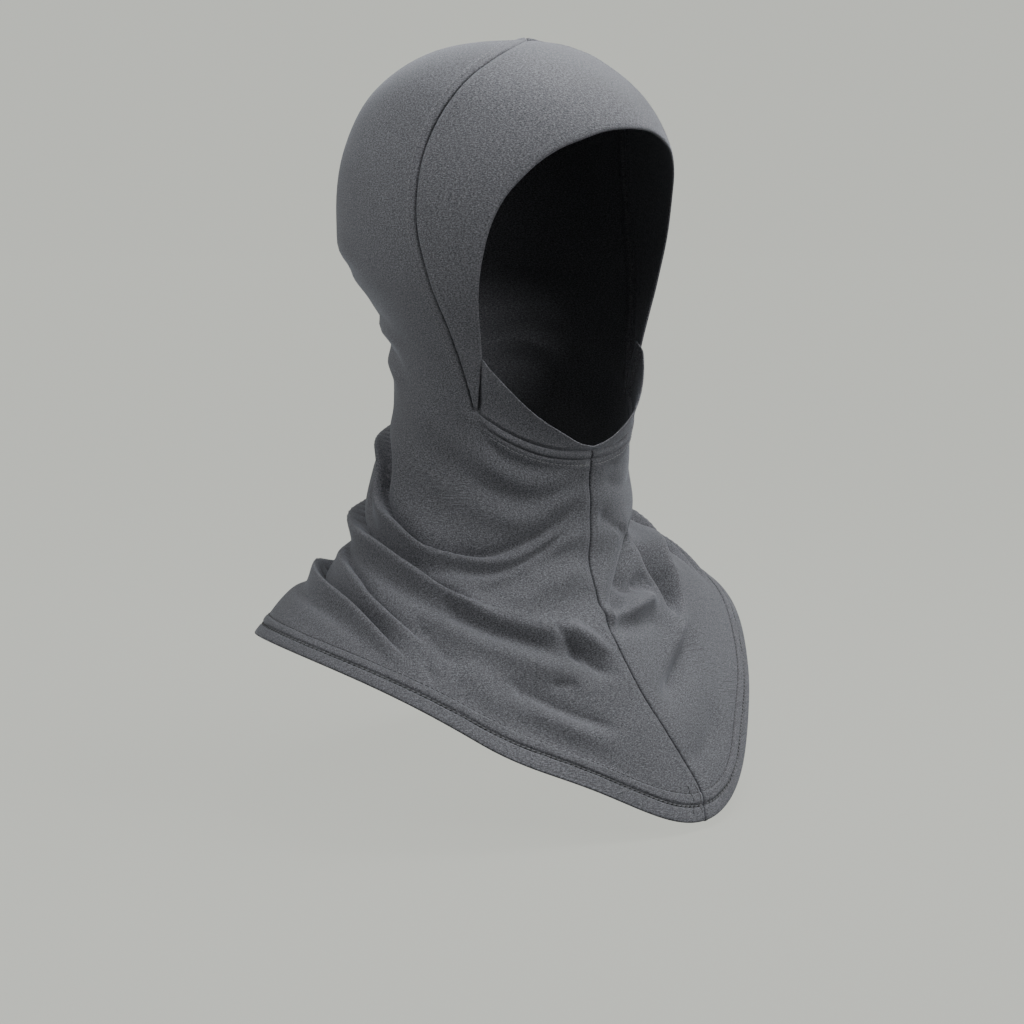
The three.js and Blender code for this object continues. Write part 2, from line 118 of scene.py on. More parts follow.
def along(values, place):
    """Values of a table at fractional places, smooth through all of its lines."""
    values = np.asarray(values, float)
    place = np.asarray(place, float)
    last = len(values) - 1
    low = np.clip(np.floor(place).astype(int), 0, last - 1)
    ends = 2 * values[:1] - values[1:2], 2 * values[-1:] - values[-2:-1]
    padded = np.concatenate([ends[0], values, ends[1]])
    before, start, end, after = (padded[low + k] for k in range(4))
    t = (place - low).reshape(place.shape + (1,) * (values.ndim - 1))
    bend = (2 * before - 5 * start + 4 * end - after) * t**2
    twist = (3 * start - before - 3 * end + after) * t**3
    return (2 * start + (end - before) * t + bend + twist) / 2


def look_up(keys, values, at):
    """Values of a column where another, rising column has a value."""
    return along(values, np.interp(at, keys, np.arange(len(keys))))


def smooth(low, high, value):
    t = np.clip((value - low) / (high - low), 0, 1)
    return t * t * (3 - 2 * t)


def unit(vectors):
    return vectors / np.maximum(np.linalg.norm(vectors, axis=-1, keepdims=True), 1e-9)


def groove(distance, centre, width):
    return np.exp(-(((distance - centre) / width) ** 2))


def harmonics(sizes):
    """Five station sizes as the weights of an even series of cosines."""
    orders = np.arange(5)
    inner = sum(sizes[k] * np.cos(orders * k * math.pi / 4) for k in (1, 2, 3))
    ends = (sizes[0] + sizes[4] * (-1.0) ** orders) / 2
    return (ends + inner) / np.where(orders % 4 == 0, 4, 2)


def row_tables():
    """The rows' weights, with a mirrored row before the crown to round it."""
    collar_drop = np.array(ROWS[COLLAR][2]) * HOOD_DROP
    reach, drop, axis = [], [], []
    for number, (follows, behind, drops, reaches) in enumerate(ROWS):
        reach.append(harmonics(np.array(reaches) * follows))
        if number <= COLLAR:
            drop.append(harmonics(np.array(drops) * HOOD_DROP))
        else:
            drop.append(harmonics(collar_drop + np.array(drops) * BIB_DROP))
        axis.append(behind * HOOD[0])
    return np.array([-reach[1], *reach]), np.array([drop[1], *drop]), np.array([axis[1], *axis])


REACH, DROP, AXIS = row_tables()


def plain(angle, row):
    """Points of the surface before its folds."""
    angle, row = np.broadcast_arrays(np.asarray(angle, float), np.asarray(row, float))
    waves = np.cos(np.radians(angle)[..., None] * np.arange(5))
    reach = (along(REACH, row + 1) * waves).sum(-1)
    drop = (along(DROP, row + 1) * waves).sum(-1)
    near_front = np.cos(np.radians(np.clip(angle, -90, 90))) ** 2
    sway = np.where(row > COLLAR, look_up(SWAY[:, 0], SWAY[:, 1], row), 0) * SEAM_SWAY
    across = reach * np.sin(np.radians(angle)) + sway * near_front
    back = along(AXIS, row + 1) - reach * np.cos(np.radians(angle))
    return np.stack([across, back, CLOTH - drop], -1)


def tangents(angle, row):
    """Unit directions round the cap, down the cloth and out of it."""
    row = np.maximum(row, 2 * PROBE_ROWS)
    across = plain(angle + PROBE_DEGREES, row) - plain(angle - PROBE_DEGREES, row)
    down = plain(angle, row + PROBE_ROWS) - plain(angle, row - PROBE_ROWS)
    return unit(across), unit(down), unit(np.cross(down, across))


def rows_for(angle, row, length):
    """How many rows a length of cloth takes up just below a row."""
    span = np.linalg.norm(plain(angle, row + PROBE_ROWS) - plain(angle, row), axis=-1)
    return length * PROBE_ROWS / span


def hem_row(angle):
    share = np.minimum(np.abs(angle) / HEM_LIFT_SPAN, 1)
    return HEM - rows_for(angle, HEM - 1, HEM_LIFT * np.sin(math.pi * share) ** 2)


# The drape. A tuck is a crease where the upper cloth goes in behind the rim of the
# roll below it: its height, the width of its round bead, the length of the slope below,
# how far the rim leans over, the shares of its route over which it fades in and out,
# and the route of (angle, row).
TUCKS = [
    (6.8, 3.4, 13, 0.45, 0.2, 0.5, [
        (-168, 8.25), (-142, 8.45), (-122, 8.6), (-111, 8.78), (-105, 9.12), (-96, 9.28),
        (-87, 9.34), (-77, 9.42), (-70, 9.4), (-62, 9.3), (-51, 9.14), (-43, 8.94), (-32, 8.62),
    ]),
    (7.2, 3.8, 14, 0.45, 0.2, 0.45, [
        (-168, 9.3), (-145, 9.48), (-121, 9.57), (-100, 9.62), (-87, 9.66), (-77, 9.74),
        (-69, 9.8), (-60, 9.84), (-50, 9.86), (-40, 9.9),
    ]),
    (4.6, 4, 11, 0.3, 0.3, 0.4, [
        (-130, 9.8), (-107, 9.94), (-91, 10.14), (-81, 10.38), (-74, 10.54), (-68, 10.66),
        (-61, 10.8),
    ]),
    (6.8, 3.4, 12, 0.45, 0.25, 0.45, [
        (-148, 10.28), (-128, 10.36), (-111, 10.42), (-95, 10.54), (-85, 10.64), (-76, 10.84),
        (-69, 11.08), (-64, 11.3),
    ]),
    (6.4, 3.6, 13, 0.45, 0.2, 0.45, [
        (166, 8.35), (144, 8.6), (122, 8.88), (104, 9.12), (88, 9.26), (70, 9.25), (54, 9.05),
        (44, 8.8),
    ]),
    (6.8, 3.8, 14, 0.45, 0.2, 0.45, [
        (160, 9.3), (140, 9.48), (118, 9.62), (100, 9.74), (84, 9.92), (70, 10.15), (60, 10.4),
    ]),
    (4.4, 4, 11, 0.3, 0.3, 0.4, [
        (136, 9.9), (118, 10), (102, 10.12), (88, 10.36), (78, 10.65), (70, 10.9),
    ]),
    (6.4, 3.6, 12, 0.45, 0.25, 0.45, [
        (150, 10.32), (130, 10.44), (112, 10.5), (98, 10.62), (86, 10.86), (76, 11.12),
        (68, 11.36),
    ]),
]
# Edges where the cloth above hangs over a wide hollow: depth, round of the edge, width
# of the hollow and route.
OVERHANGS = [
    (8, 7, 16, [(42, 8.66), (37, 8.8), (34, 8.92), (27, 9.1), (16, 9.34), (6, 9.62), (2, 9.7)]),
]
# Ridges (+) and valleys (-) of the soft folds: height, width and route. A narrow
# valley is pinched to a sharper section.
LINES = [
    (-3.3, 3.6, [
        (-66, 9.38), (-62, 9.3), (-51, 9.13), (-44, 8.96), (-35, 8.7), (-18, 8.3), (-5, 7.98),
    ]),
    (1.7, 3.4, [
        (-73, 9.5), (-62, 9.4), (-51, 9.24), (-40, 9.02), (-29, 8.72), (-18, 8.42), (-6, 8.0),
    ]),
    (-3.4, 3.6, [
        (-72, 9.6), (-62, 9.5), (-50, 9.36), (-40, 9.14), (-29, 8.84), (-16, 8.46), (-4, 8.2),
    ]),
    (2.2, 6, [(-66, 9.66), (-54, 9.56), (-42, 9.32), (-30, 9.0), (-16, 8.66), (-4, 8.4)]),
    (-2.5, 5.5, [(-56, 9.7), (-47, 9.56), (-34, 9.18), (-20, 8.84), (-3, 8.58)]),
    (3, 9, [(-52, 9.8), (-38, 9.6), (-24, 9.3), (-10, 9.1), (0, 9)]),
    (3.6, 6.5, [
        (-68, 9.72), (-60, 9.8), (-48, 9.94), (-36, 9.94), (-22, 9.9), (-13, 10.02), (-6, 10.06),
    ]),
    (-4.2, 6, [
        (-74, 9.92), (-64, 10.0), (-57, 10.14), (-47, 10.17), (-36, 10.13), (-27, 10.16),
        (-23, 10.32),
    ]),
    (2.7, 7, [(-72, 10.12), (-62, 10.3), (-50, 10.4), (-38, 10.4), (-26, 10.42), (-12, 10.5)]),
    (-3.3, 3.2, [(-24, 9.82), (-22, 9.88), (-18, 10.12), (-16, 10.3)]),
    (3, 4.5, [(-20, 9.78), (-17, 9.84), (-12, 9.92), (-7, 10.08), (-2, 10.16)]),
    (-4.6, 5, [(-21, 9.98), (-17, 10.1), (-14, 10.2), (-10, 10.32), (-3, 10.4)]),
    (-2.1, 3, [(-30, 10.66), (-25, 10.58), (-20, 10.5)]),
    (-3.4, 4.5, [(-43, 10.84), (-36, 10.9), (-29, 10.94), (-19, 10.98), (-12, 11.02)]),
    (2.7, 6, [(-46, 11.05), (-36, 11.1), (-26, 11.14), (-14, 11.2)]),
    (-1.7, 3.5, [(-41, 10.72), (-40, 10.85), (-39, 11.1), (-38, 11.2)]),
    (-2.8, 6, [(-69, 10.5), (-64, 10.6), (-59, 10.8), (-54, 10.95)]),
    (-1.7, 3.4, [(-65, 10.96), (-63, 11.06), (-61, 11.3), (-60, 11.42)]),
    (1.8, 8, [(-54, 10.75), (-50, 11.0), (-46, 11.3), (-42, 11.5)]),
    (-2.1, 4.6, [
        (-66, 7.08), (-55, 7.34), (-48, 7.48), (-39, 7.46), (-26, 7.36), (-13, 7.26), (-3, 7.14),
    ]),
    (1.3, 5, [(-64, 7.5), (-50, 7.72), (-36, 7.7), (-22, 7.56), (-8, 7.38)]),
    (-2.3, 5.5, [(-66, 8.1), (-56, 8.16), (-46, 8.12), (-34, 8.0), (-21, 7.78), (-6, 7.52)]),
    (1.3, 6, [(-66, 8.4), (-50, 8.45), (-36, 8.3), (-20, 8.02), (-6, 7.75)]),
    (-1.6, 5, [(-38, 8.7), (-30, 8.54), (-13, 8.1), (-3, 7.8)]),
    (-8, 9, [
        (100, 9.7), (86, 9.62), (78, 9.55), (70, 9.45), (62, 9.36), (54, 9.22), (46, 9.06),
        (40, 8.96),
    ]),
    (9, 6.5, [
        (86, 9.95), (74, 9.85), (64, 9.72), (56, 9.72), (51, 9.88), (49, 10.1), (44, 10.3),
        (37, 10.42), (28, 10.46), (19, 10.5), (8, 10.56),
    ]),
    (-9, 4.8, [
        (62, 9.28), (54, 9.34), (49, 9.5), (45, 9.73), (43, 9.98), (42, 10.18), (38, 10.32),
        (32, 10.38),
    ]),
    (2, 6, [(44, 9.04), (40, 9.3), (38, 9.64), (38, 9.92), (36, 10.16), (31, 10.26), (25, 10.3)]),
    (-5, 7, [(16, 9.36), (22, 9.46), (28, 9.56), (34, 9.66), (38, 9.72)]),
    (-2, 2.4, [(22, 9.46), (24, 9.54), (26, 9.6)]),
    (-2, 2.4, [(28, 9.54), (30, 9.62), (31, 9.68)]),
    (5, 4.8, [(-4, 9.62), (3, 9.68), (13, 9.73), (24, 9.78), (31, 9.84), (36, 9.92)]),
    (-3.4, 6.6, [(-4, 9.8), (4, 9.86), (14, 9.94), (25, 10.04), (32, 10.12)]),
    (-6, 5.5, [(44, 10.56), (35, 10.64), (23, 10.62), (14, 10.68), (4, 10.8)]),
    (1.6, 4, [(-34, 0.5), (-14, 0.24), (0, 0.2), (14, 0.24), (34, 0.5)]),
    (-2.4, 6, [(26, 11.2), (16, 11.33), (6, 11.4), (-2, 11.44)]),
    (-1.8, 4.6, [(66, 7.15), (50, 7.42), (36, 7.48), (20, 7.4), (6, 7.22)]),
    (-2, 5.5, [(62, 8.1), (44, 8.1), (30, 7.96), (18, 7.74), (8, 7.5)]),
    (-2.4, 5, [(32, 8.9), (22, 8.6), (12, 8.35), (4, 8.2)]),
    (-2.1, 5, [(-179, 6.1), (-160, 6.22), (-140, 6.4), (-122, 6.5), (-104, 6.7)]),
    (2.3, 6, [(-179, 6.45), (-158, 6.6), (-138, 6.64), (-118, 6.8), (-100, 6.95)]),
    (-2.1, 5, [(-176, 7.15), (-158, 7.0), (-137, 7.02), (-118, 7.2), (-100, 7.4)]),
    (2.3, 6, [(-176, 7.45), (-156, 7.35), (-137, 7.33), (-118, 7.5), (-102, 7.66)]),
    (1.7, 9, [(-170, 4.6), (-152, 4.5), (-136, 4.52), (-116, 4.7)]),
    (-1.6, 6, [(-172, 5.05), (-152, 4.95), (-136, 4.95), (-116, 5.1)]),
    (-2.1, 5, [(178, 6.25), (158, 6.4), (138, 6.42), (120, 6.5), (104, 6.8)]),
    (2.3, 6, [(176, 6.6), (156, 6.74), (136, 6.7), (118, 6.85), (100, 7.05)]),
    (-2.3, 5, [(175, 7.3), (156, 7.2), (136, 7.1), (116, 7.3), (98, 7.5)]),
    (2.3, 6, [(174, 7.6), (154, 7.5), (136, 7.42), (116, 7.6), (98, 7.8)]),
    (-3.6, 7, [(-178, 9.8), (-165, 9.95), (-150, 10.05), (-138, 10.1)]),
    (-3.6, 7, [(176, 9.9), (164, 10.05), (150, 10.12), (138, 10.15)]),
    (3.3, 9, [(-170, 10.5), (-156, 10.8), (-142, 10.9)]),
    (3.3, 9, [(172, 10.5), (158, 10.85), (144, 10.95)]),
]
LINE_FADE = 0.3
LINE_ASIDE = (12, 24)
OVERHANG_FADES = (0.3, 0.25)
OVERHANG_ASIDE = (8, 20)
OVERHANG_SWELL = 0.2
GATHERED_ROWS = (6.2, 8.2)
SMOOTH_ROWS = (10.4, 11.6)
BACK_SEAM_FADE = (150, 178)
FINE_RIPPLE = 0.28
BROAD_RIPPLE = 0.45
LONG_RIPPLE = 0.25
PINCH = 1.25
PINCH_WIDTH = 6.5
CREASE_DEPTH = 1.2
HOLLOW = 0.85
SWELL = 0.12
SLOPE_SHARE = 0.2
DISH = 0.36
ROUTE_STEPS = 64


def lengths_along(points):
    """Distance of each point of a line from its start."""
    return np.concatenate([[0], np.cumsum(np.linalg.norm(np.diff(points, axis=0), axis=1))])


def route(points, steps=ROUTE_STEPS):
    """A smooth line on the surface: its points, directions along it and down the cloth."""
    line = along(points, np.linspace(0, len(points) - 1, steps + 1))
    spots = plain(line[:, 0], line[:, 1])
    forward = unit(np.gradient(spots, axis=0))
    down = unit(np.cross(forward, tangents(line[:, 0], line[:, 1])[2]))
    return spots, forward, -down * np.sign(down[:, 2].sum())


def beside(points, line):
    """For points near a line: share of the way along it, offset down from it, distance
    aside of it, and the direction down there."""
    spots, forward, down = line
    squares = (points**2).sum(-1)[:, None] - 2 * points @ spots.T + (spots**2).sum(-1)
    nearest = squares.argmin(1)
    away = points - spots[nearest]
    ahead = (away * forward[nearest]).sum(-1)
    step = np.linalg.norm(np.diff(spots, axis=0), axis=1).mean()
    inside = np.clip(ahead, -step / 2, step / 2)
    away = away - forward[nearest] * inside[:, None]
    offset = (away * down[nearest]).sum(-1)
    aside = np.sqrt(np.maximum((away**2).sum(-1) - offset**2, 0))
    share = (nearest + inside / step) / (len(spots) - 1)
    return share, offset, aside, down[nearest]


def tuck_profile(offset, bead, tail):
    """Section of a tuck across its crease, for a height of 1: the cloth above sinks in
    to a sharp crease, a round bead stands below it, and a long slope runs out."""
    turn_in = 1 - np.clip(-offset / (HOLLOW * tail), 0, 1)
    above = -CREASE_DEPTH * (1 - np.sqrt(1 - turn_in**2))
    above += SWELL * groove(-offset, tail, tail * 0.6)
    wall = np.sqrt(np.clip(1 - (1 - np.clip(offset / bead, 0, 1)) ** 2, 0, 1))
    rising = -CREASE_DEPTH + (1 + CREASE_DEPTH) * wall
    beyond = np.maximum(offset - bead, 0)
    falling = (1 - SLOPE_SHARE) * np.exp(-((beyond / bead) ** 2))
    dish = DISH * groove(beyond, bead * 2.1, bead * 1.3)
    falling += SLOPE_SHARE * np.exp(-((beyond / tail) ** 2)) - dish
    rise = np.where(offset < 0, above, np.where(offset < bead, rising, falling))
    over = np.where(offset < 0, 0, np.where(offset < bead, wall, falling))
    return over, rise


def ripples(place, down, seed, count=14):
    """A soft random field of two coordinates, from seeded waves that run mostly along
    the first one. Its size is about 1."""
    dice = np.random.default_rng(seed)
    total = np.zeros(np.shape(place))
    for _ in range(count):
        along_wave, across_wave = dice.normal(0, 0.45), dice.uniform(0.5, 1.4)
        phase = dice.uniform(0, 2 * math.pi)
        total += np.sin(along_wave * place + across_wave * down + phase)
    return total / math.sqrt(count / 2)


def drape(angle, row):
    """Points of the folded cloth."""
    shape = angle.shape
    angle, row = angle.ravel(), row.ravel()
    points = plain(angle, row)
    out = tangents(angle, row)[2]
    lift = np.zeros(len(points))
    slide = np.zeros_like(points)
    for height, bead, tail, lean, rise_in, die_out, spots in TUCKS:
        share, offset, aside, way = beside(points, route(spots))
        fade = smooth(0, rise_in, share) * smooth(0, die_out, 1 - share)
        fade = fade * (1 - smooth(tail * 0.7, tail * 1.6, aside))
        over, rise = tuck_profile(offset, bead, tail)
        lift += height * fade * rise
        slide -= way * (height * lean * fade * over)[:, None]
    for depth, edge, width, spots in OVERHANGS:
        share, offset, aside, _ = beside(points, route(spots))
        rise_in, die_out = OVERHANG_FADES
        fade = smooth(0, rise_in, share) * smooth(0, die_out, 1 - share)
        fade = fade * (1 - smooth(*OVERHANG_ASIDE, aside))
        turn_in = 1 - np.clip(-offset / edge, 0, 1)
        swell = OVERHANG_SWELL * groove(-offset, edge * 1.6, edge)
        over = 1 - np.sqrt(1 - turn_in**2) - swell
        lift -= depth * fade * np.where(offset < 0, over, 1 - smooth(0, width, offset))
    for height, width, spots in LINES:
        share, offset, aside, _ = beside(points, route(spots))
        fade = smooth(0, LINE_FADE, share) * smooth(0, LINE_FADE, 1 - share)
        fade = fade * (1 - smooth(*LINE_ASIDE, aside))
        sharp = PINCH if height < 0 and width < PINCH_WIDTH else 2
        lift += height * fade * np.exp(-np.abs(offset / width) ** sharp)
    gathered = smooth(*GATHERED_ROWS, row) * (1 - smooth(*SMOOTH_ROWS, row))
    fine = ripples(np.radians(angle) * 2.2, row * 9, 3)
    broad = ripples(np.radians(angle) * 1.3, row * 4, 5)
    long_waves = ripples(np.radians(angle) * 2.5, row * 1.6, 8)
    off_back = 1 - smooth(*BACK_SEAM_FADE, np.abs(angle))
    lift += off_back * gathered * (FINE_RIPPLE * fine + BROAD_RIPPLE * broad)
    lift += off_back * LONG_RIPPLE * long_waves * smooth(0.3, 2, row)
    points = points + out * lift[:, None] + slide
    return points.reshape(shape + (3,))


# Meshes from grids of cloth


def grid_normals(points, cells):
    """Outward normals of a grid, from its own cells."""
    a, b, c, d = (points[cells[:, k]] for k in range(4))
    facing = np.cross(c - a, d - b)
    normals = np.zeros_like(points)
    for k in range(4):
        np.add.at(normals, cells[:, k], facing)
    return unit(normals)


def grid_cells(mask):
    """Four-cornered cells between the points of a grid that are there."""
    numbers = np.full(mask.shape, -1)
    numbers[mask] = np.arange(mask.sum())
    corners = numbers[:-1, :-1], numbers[1:, :-1], numbers[1:, 1:], numbers[:-1, 1:]
    cells = np.stack(corners, -1).reshape(-1, 4)
    return cells[(cells >= 0).all(1)]


def rim_edges(cells):
    """Directed edges that belong to one cell only."""
    edges = np.concatenate([cells[:, [k, (k + 1) % 4]] for k in range(4)])
    keys = edges.min(1) * (edges.max() + 1) + edges.max(1)
    _, where, uses = np.unique(keys, return_index=True, return_counts=True)
    return edges[where[uses == 1]]


RIM_STEPS = [(0.12, 0.3), (0.5, 0.52), (0.88, 0.3)]


def shell(points, cells, wall, flip):
    """A cloth of some thickness with rounded edges. Returns points, faces and the
    number of the outside point that each point came from."""
    if flip:
        cells = cells[:, ::-1]
    normals = grid_normals(points, cells)
    count = len(points)
    inner = points - normals * wall[:, None]
    edges = rim_edges(cells)
    sides = np.cross(points[edges[:, 1]] - points[edges[:, 0]], normals[edges[:, 0]])
    off = np.zeros_like(points)
    for k in (0, 1):
        np.add.at(off, edges[:, k], unit(sides))
    off = unit(off)
    rim = np.unique(edges)
    place = np.full(count, -1)
    place[rim] = np.arange(len(rim))
    rings = [points, inner]
    for depth, bulge in RIM_STEPS:
        rings.append(points[rim] - normals[rim] * (wall[rim] * depth)[:, None]
                     + off[rim] * (wall[rim] * bulge)[:, None])
    faces = [cells, cells[:, ::-1] + count]
    start = 2 * count
    levels = [edges]
    for k in range(len(RIM_STEPS)):
        levels.append(place[edges] + start + k * len(rim))
    levels.append(edges + count)
    for high, low in zip(levels, levels[1:]):
        faces.append(np.stack([high[:, 1], high[:, 0], low[:, 0], low[:, 1]], -1))
    source = np.concatenate([np.arange(count)] * 2 + [rim] * len(RIM_STEPS))
    return np.concatenate(rings), np.concatenate(faces), source


def weave_map(points, mask):
    """Metres along each line and down each column of a grid, for the knit."""
    grid = np.zeros(mask.shape + (3,))
    grid[mask] = points
    steps = np.linalg.norm(np.diff(grid, axis=1), axis=-1) * (mask[:, 1:] & mask[:, :-1])
    around = np.concatenate([np.zeros((len(mask), 1)), np.cumsum(steps[:, ::-1], 1)], 1)[:, ::-1]
    steps = np.linalg.norm(np.diff(grid, axis=0), axis=-1) * (mask[1:] & mask[:-1])
    downward = np.concatenate([np.zeros((1, mask.shape[1])), np.cumsum(steps, 0)])
    return np.stack([around[mask], downward[mask]], -1) * MM


def make_object(name, points, faces, uv=None):
    mesh = bpy.data.meshes.new(name)
    corners = [tuple(dict.fromkeys(face)) for face in faces.tolist()]
    mesh.from_pydata((points * MM).tolist(), [], corners)
    if uv is not None:
        layer = mesh.uv_layers.new(name="knit")
        numbers = np.empty(len(mesh.loops), int)
        mesh.loops.foreach_get("vertex_index", numbers)
        layer.data.foreach_set("uv", uv[numbers].ravel())
    mesh.shade_smooth()
    obj = bpy.data.objects.new(name, mesh)
    bpy.context.scene.collection.objects.link(obj)
    return obj


def cloth_object(name, points, mask, wall, flip, material):
    cells = grid_cells(mask)
    flat = points[mask]
    shell_points, faces, source = shell(flat, cells, wall[mask], flip)
    obj = make_object(name, shell_points, faces, weave_map(flat, mask)[source])
    obj.data.materials.append(material)
    return obj


# Materials


def link(tree, source, target):
    tree.links.new(source, target)


def node(tree, kind, **inputs):
    made = tree.nodes.new(kind)
    for name, value in inputs.items():
        made.inputs[name.replace("_", " ")].default_value = value
    return made


def mix_colors(tree, kind, factor, first, second):
    made = tree.nodes.new("ShaderNodeMix")
    made.data_type = "RGBA"
    made.blend_type = kind
    for number, value in ((0, factor), (6, first), (7, second)):
        socket = made.inputs[number]
        if isinstance(value, bpy.types.NodeSocket):
            link(tree, value, socket)
        else:
            socket.default_value = value
    return made.outputs[2]


def stretched(tree, source, scale):
    mapping = node(tree, "ShaderNodeMapping", Scale=scale)
    link(tree, source, mapping.inputs["Vector"])
    return mapping.outputs["Vector"]


def noise(tree, vector, scale, detail, roughness):
    made = node(tree, "ShaderNodeTexNoise", Scale=scale, Detail=detail, Roughness=roughness)
    link(tree, vector, made.inputs["Vector"])
    return made.outputs["Fac"]


def spread(tree, value, low, high, out_low, out_high):
    made = tree.nodes.new("ShaderNodeMapRange")
    link(tree, value, made.inputs["Value"])
    limits = {"From Min": low, "From Max": high, "To Min": out_low, "To Max": out_high}
    for name, number in limits.items():
        made.inputs[name].default_value = number
    return made.outputs["Result"]


def new_material(name, **inputs):
    """A material, its nodes and its shader, with some inputs of the shader set."""
    material = bpy.data.materials.new(name)
    material.use_nodes = True
    shader = material.node_tree.nodes["Principled BSDF"]
    for key, value in inputs.items():
        shader.inputs[key.replace("_", " ")].default_value = value
    return material, material.node_tree, shader


def jersey(name):
    """Heather jersey: yarns of two greys, fine wales, short streaks round the body."""
    material, tree, shader = new_material(
        name, Roughness=0.88, Specular_IOR_Level=0.28, Sheen_Weight=0.25,
        Sheen_Roughness=0.45, Sheen_Tint=(0.75, 0.8, 0.9, 1))
    uv = tree.nodes.new("ShaderNodeUVMap")
    uv.uv_map = "knit"
    place = tree.nodes.new("ShaderNodeTexCoord").outputs["Object"]
    yarn = noise(tree, stretched(tree, uv.outputs["UV"], (760, 1700, 1)), 1, 1, 0.5)
    speck = noise(tree, place, 1500, 1, 0.5)
    cloud = noise(tree, place, 14, 3, 0.5)
    yarns = spread(tree, yarn, 0.3, 0.7, 0, 1)
    heather = mix_colors(tree, "MIX", yarns, DARK_YARN, LIGHT_YARN)
    flecks = spread(tree, speck, 0.3, 0.7, 0.56, 1.44)
    speckled = mix_colors(tree, "MULTIPLY", 1.0, heather, flecks)
    tone = spread(tree, cloud, 0.3, 0.7, 0.93, 1.07)
    link(tree, mix_colors(tree, "MULTIPLY", 1.0, speckled, tone), shader.inputs["Base Color"])
    wales = tree.nodes.new("ShaderNodeTexWave")
    wales.wave_type = "BANDS"
    wales.bands_direction = "X"
    wales.inputs["Scale"].default_value = 320
    wales.inputs["Distortion"].default_value = 0.8
    wales.inputs["Detail"].default_value = 2
    link(tree, stretched(tree, uv.outputs["UV"], (1, 1, 1)), wales.inputs["Vector"])
    knit = node(tree, "ShaderNodeBump", Strength=0.25, Distance=0.00012)
    link(tree, wales.outputs["Fac"], knit.inputs["Height"])
    fuzz = node(tree, "ShaderNodeBump", Strength=0.15, Distance=0.0001)
    link(tree, speck, fuzz.inputs["Height"])
    link(tree, knit.outputs["Normal"], fuzz.inputs["Normal"])
    link(tree, fuzz.outputs["Normal"], shader.inputs["Normal"])
    return material


def thread_material(name, color, roughness):
    material, tree, shader = new_material(name, Roughness=roughness, Sheen_Weight=0.2)
    place = tree.nodes.new("ShaderNodeTexCoord").outputs["Object"]
    ply = noise(tree, place, 2400, 2, 0.6)
    tone = spread(tree, ply, 0.3, 0.7, 0.75, 1.25)
    link(tree, mix_colors(tree, "MULTIPLY", 1.0, color, tone), shader.inputs["Base Color"])
    twist = node(tree, "ShaderNodeBump", Strength=0.5, Distance=0.0001)
    link(tree, ply, twist.inputs["Height"])
    link(tree, twist.outputs["Normal"], shader.inputs["Normal"])
    return material


DARK_YARN = (0.052, 0.053, 0.059, 1)
LIGHT_YARN = (0.142, 0.144, 0.158, 1)
PANEL_JERSEY = jersey("panel_jersey")
BAND_JERSEY = jersey("band_jersey")

# Panels

LIP = 4.6
COLLAR_STITCH = 8.2
HEM_LINES = (7.7, 14.3)
STITCH_PITCH = 3.05
SEAM_DIP = (2.6, 0.42)
SEAM_RIDGE = (0.28, 4.9)
SEAM_WAVES = (0.12, 5.3)
EDGE_STEPS = np.array([0, 0.12, 0.26, 0.45, 0.8, 1.4, 2.2])
FRONT_COLUMNS = 60
HOOD_COLUMNS = 156
BIB_LINES = 108
CROWD_STEPS = 300


def collar_relief(below, angle):
    """Rise of the cloth at a distance below the collar's front edge: a rolled lip, a
    sharp line under it, and the flat of the seam to its topstitch."""
    fade = smooth(0, 11, TIP_ANGLE - np.abs(angle))
    roll = np.sqrt(np.clip(1 - ((below - LIP / 2) / (LIP / 2)) ** 2, 0, 1))
    lip = np.where(below < LIP, 1.5 * roll - 0.5, 0)
    flat = np.where(below >= LIP, 0.55 * smooth(LIP, LIP + 1.2, below), 0)
    flat = flat * (1 - smooth(COLLAR_STITCH + 1, COLLAR_STITCH + 4, below))
    stitch = -0.35 * groove(below, COLLAR_STITCH, 0.6)
    line = -0.9 * groove(below, LIP + 0.2, 0.5)
    return fade * (lip + flat + stitch + line)


def hem_relief(above, along_hem):
    """Rise of the cloth at a distance above the hem's edge."""
    outer, inner = HEM_LINES
    doubled = 0.45 * (1 - smooth(inner - 0.2, inner + 0.8, above))
    puff = 0.35 * np.sin(math.pi * np.clip((above - outer) / (inner - outer), 0, 1)) ** 0.8
    puff = puff * (above > outer) * (above < inner)
    pucker = 0.5 + 0.5 * np.sin(along_hem * 2 * math.pi / STITCH_PITCH)
    lines = -(0.95 + 0.5 * pucker) * groove(above, outer, 1) - 0.5 * groove(above, inner, 0.6)
    ends = -0.25 * groove(above, 0, 0.8)
    return doubled + puff + lines + ends


def seam_relief(distance, along_seam):
    """Rise of the cloth beside a seam: it turns in at the seam, and the allowance
    under it shows as a low ridge."""
    size, pitch = SEAM_WAVES
    puckers = size * np.sin(along_seam * 2 * math.pi / pitch + 1.7 * np.sin(along_seam / 11))
    dip, width = SEAM_DIP
    turned = -dip * np.exp(-((distance / width) ** 1.3)) - 0.35 * groove(distance, 0, 1.3)
    height, away = SEAM_RIDGE
    ridge = (height + puckers * 0.5) * groove(distance, away, 1.3)
    return turned + ridge + puckers * groove(distance, 2, 2)


